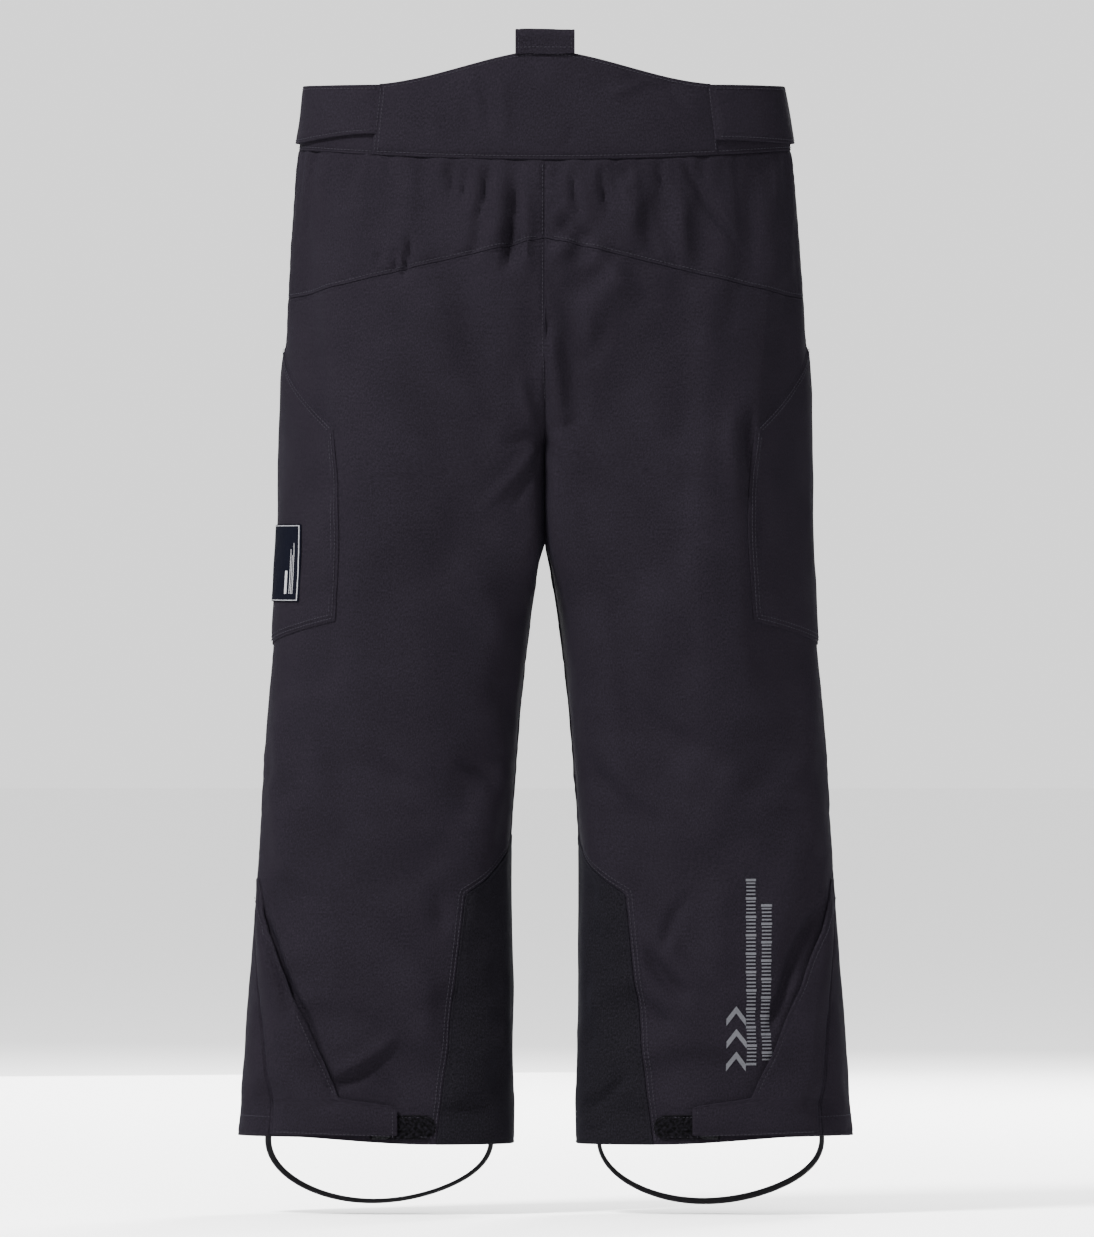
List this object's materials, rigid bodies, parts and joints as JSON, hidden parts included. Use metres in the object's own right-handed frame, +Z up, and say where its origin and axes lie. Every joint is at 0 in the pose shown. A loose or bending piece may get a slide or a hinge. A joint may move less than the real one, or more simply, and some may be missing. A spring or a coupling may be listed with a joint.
{
  "type": "ski pants",
  "caption": "Child's padded ski pants with a raised back waistband, cargo pockets, scuff guards, cuff straps and elastic stirrups.",
  "frame": {"origin": "centre of the waist opening, level with the top of the side waistband", "axes": "+Z up, -Y the way the wearer faces, +X towards the wearer's left"},
  "size_m": [0.4338, 0.1481, 0.831],
  "materials": {
    "shell_fabric": "fine weave, slight sheen",
    "scuff_canvas": "coarse canvas weave",
    "lining_fabric": "smooth taffeta",
    "elastic": "ribbed elastic",
    "hook_and_loop": "napped tape",
    "zip_tape": "woven tape with moulded teeth",
    "dark_metal": "gunmetal enamel",
    "pull_cord": "moulded grip",
    "label_fabric": "woven badge with a light border"
  },
  "bodies": {
    "upper": {"back_waistband": "shell_fabric", "left_front_waistband": "shell_fabric", "right_front_waistband": "shell_fabric", "waistband_facing": "lining_fabric", "back_loop": "shell_fabric", "left_back_yoke": "shell_fabric", "right_back_yoke": "shell_fabric", "left_back_thigh": "shell_fabric", "right_back_thigh": "shell_fabric", "left_front_thigh": "shell_fabric", "right_front_thigh": "shell_fabric", "left_thigh_lining": "lining_fabric", "right_thigh_lining": "lining_fabric", "left_knee_fold": "shell_fabric", "right_knee_fold": "shell_fabric", "left_fly_tape": "zip_tape", "right_fly_tape": "zip_tape", "fly_shield": "lining_fabric", "left_hand_zip": "zip_tape", "right_hand_zip": "zip_tape", "left_cargo_pocket": "shell_fabric", "right_cargo_pocket": "shell_fabric", "left_cargo_zip": "zip_tape", "right_cargo_zip": "zip_tape", "side_label": "label_fabric", "upper_snap_stud": "dark_metal", "lower_snap_stud": "dark_metal"},
    "waist_tab": {"waist_tab": "shell_fabric", "upper_snap_cap": "dark_metal", "lower_snap_cap": "dark_metal"},
    "left_lower_leg": {"left_back_shin": "shell_fabric", "left_front_shin": "shell_fabric", "left_scuff_guard": "scuff_canvas", "left_snow_gaiter": "lining_fabric", "left_cuff_loop": "hook_and_loop"},
    "left_waist_strap": {"left_waist_strap": "shell_fabric", "left_waist_hook": "hook_and_loop"},
    "left_cuff_flap": {"left_cuff_flap": "shell_fabric", "left_cuff_hook": "hook_and_loop"},
    "left_stirrup": {"left_stirrup": "elastic"},
    "left_hand_slider": {"left_hand_slider": "dark_metal"},
    "left_hand_pull": {"left_hand_pull": "pull_cord"},
    "left_cargo_slider": {"left_cargo_slider": "dark_metal"},
    "left_cargo_pull": {"left_cargo_pull": "pull_cord"},
    "right_lower_leg": {"right_back_shin": "shell_fabric", "right_front_shin": "shell_fabric", "right_scuff_guard": "scuff_canvas", "right_snow_gaiter": "lining_fabric", "right_cuff_loop": "hook_and_loop"},
    "right_waist_strap": {"right_waist_strap": "shell_fabric", "right_waist_hook": "hook_and_loop"},
    "right_cuff_flap": {"right_cuff_flap": "shell_fabric", "right_cuff_hook": "hook_and_loop"},
    "right_stirrup": {"right_stirrup": "elastic"},
    "right_hand_slider": {"right_hand_slider": "dark_metal"},
    "right_hand_pull": {"right_hand_pull": "pull_cord"},
    "right_cargo_slider": {"right_cargo_slider": "dark_metal"},
    "right_cargo_pull": {"right_cargo_pull": "pull_cord"},
    "fly_slider": {"fly_slider": "dark_metal"},
    "fly_pull": {"fly_pull": "pull_cord"}
  },
  "joints": [
    {"name": "left_knee_bend", "type": "hinge", "parent": "upper", "child": "left_lower_leg", "pos_m": [0.109, 0.006, -0.473], "axis": [1, 0, 0], "range_deg": [0, 75], "deforming": ["left_knee_fold"]},
    {"name": "left_waist_strap_peel", "type": "hinge", "parent": "upper", "child": "left_waist_strap", "pos_m": [0.1208, 0.0512, -0.021], "axis": [0, 0, 1], "range_deg": [0, 60]},
    {"name": "left_cuff_flap_open", "type": "hinge", "parent": "left_lower_leg", "child": "left_cuff_flap", "pos_m": [0.208, 0.00552, -0.5617], "axis": [-0.0585, 0.2058, -0.9769], "range_deg": [0, 80]},
    {"name": "left_stirrup_swing", "type": "hinge", "parent": "left_lower_leg", "child": "left_stirrup", "pos_m": [0.1183, 0, -0.741], "axis": [1, 0, 0], "range_deg": [-50, 50]},
    {"name": "left_hand_slider_slide", "type": "slide", "parent": "upper", "child": "left_hand_slider", "axis": [0.2848, 0.0586, -0.9568], "range_m": [0, 0.0925]},
    {"name": "left_hand_pull_swing", "type": "hinge", "parent": "left_hand_slider", "child": "left_hand_pull", "pos_m": [0.11896, -0.05158, -0.07435], "axis": [-0.889, -0.3572, -0.2864], "range_deg": [0, 150]},
    {"name": "left_cargo_slider_slide", "type": "slide", "parent": "upper", "child": "left_cargo_slider", "axis": [-0.0151, -0.0871, -0.9961], "range_m": [0, 0.1125]},
    {"name": "left_cargo_pull_swing", "type": "hinge", "parent": "left_cargo_slider", "child": "left_cargo_pull", "pos_m": [0.16974, -0.04748, -0.24423], "axis": [-0.8161, -0.5746, 0.0626], "range_deg": [0, 150]},
    {"name": "right_knee_bend", "type": "hinge", "parent": "upper", "child": "right_lower_leg", "pos_m": [-0.109, 0.006, -0.473], "axis": [1, 0, 0], "range_deg": [0, 75], "deforming": ["right_knee_fold"]},
    {"name": "right_waist_strap_peel", "type": "hinge", "parent": "upper", "child": "right_waist_strap", "pos_m": [-0.1208, 0.0512, -0.021], "axis": [0, 0, -1], "range_deg": [0, 60]},
    {"name": "right_cuff_flap_open", "type": "hinge", "parent": "right_lower_leg", "child": "right_cuff_flap", "pos_m": [-0.208, 0.00552, -0.5617], "axis": [-0.0585, -0.2058, 0.9769], "range_deg": [0, 80]},
    {"name": "right_stirrup_swing", "type": "hinge", "parent": "right_lower_leg", "child": "right_stirrup", "pos_m": [-0.1183, 0, -0.741], "axis": [1, 0, 0], "range_deg": [-50, 50]},
    {"name": "right_hand_slider_slide", "type": "slide", "parent": "upper", "child": "right_hand_slider", "axis": [-0.2848, 0.0586, -0.9568], "range_m": [0, 0.0925]},
    {"name": "right_hand_pull_swing", "type": "hinge", "parent": "right_hand_slider", "child": "right_hand_pull", "pos_m": [-0.11896, -0.05158, -0.07435], "axis": [-0.889, 0.3572, 0.2864], "range_deg": [0, 150]},
    {"name": "right_cargo_slider_slide", "type": "slide", "parent": "upper", "child": "right_cargo_slider", "axis": [0.0151, -0.0871, -0.9961], "range_m": [0, 0.1125]},
    {"name": "right_cargo_pull_swing", "type": "hinge", "parent": "right_cargo_slider", "child": "right_cargo_pull", "pos_m": [-0.16974, -0.04748, -0.24423], "axis": [-0.8161, 0.5746, -0.0626], "range_deg": [0, 150]},
    {"name": "waist_tab_open", "type": "hinge", "parent": "upper", "child": "waist_tab", "pos_m": [0.0307, -0.0636, -0.023], "axis": [0, 0, 1], "range_deg": [0, 100]},
    {"name": "fly_slider_slide", "type": "slide", "parent": "upper", "child": "fly_slider", "axis": [0, -0.0137, -0.9999], "range_m": [0, 0.097]},
    {"name": "fly_pull_swing", "type": "hinge", "parent": "fly_slider", "child": "fly_pull", "pos_m": [0, -0.06591, -0.06097], "axis": [-1, 0, 0], "range_deg": [0, 150]}
  ]
}
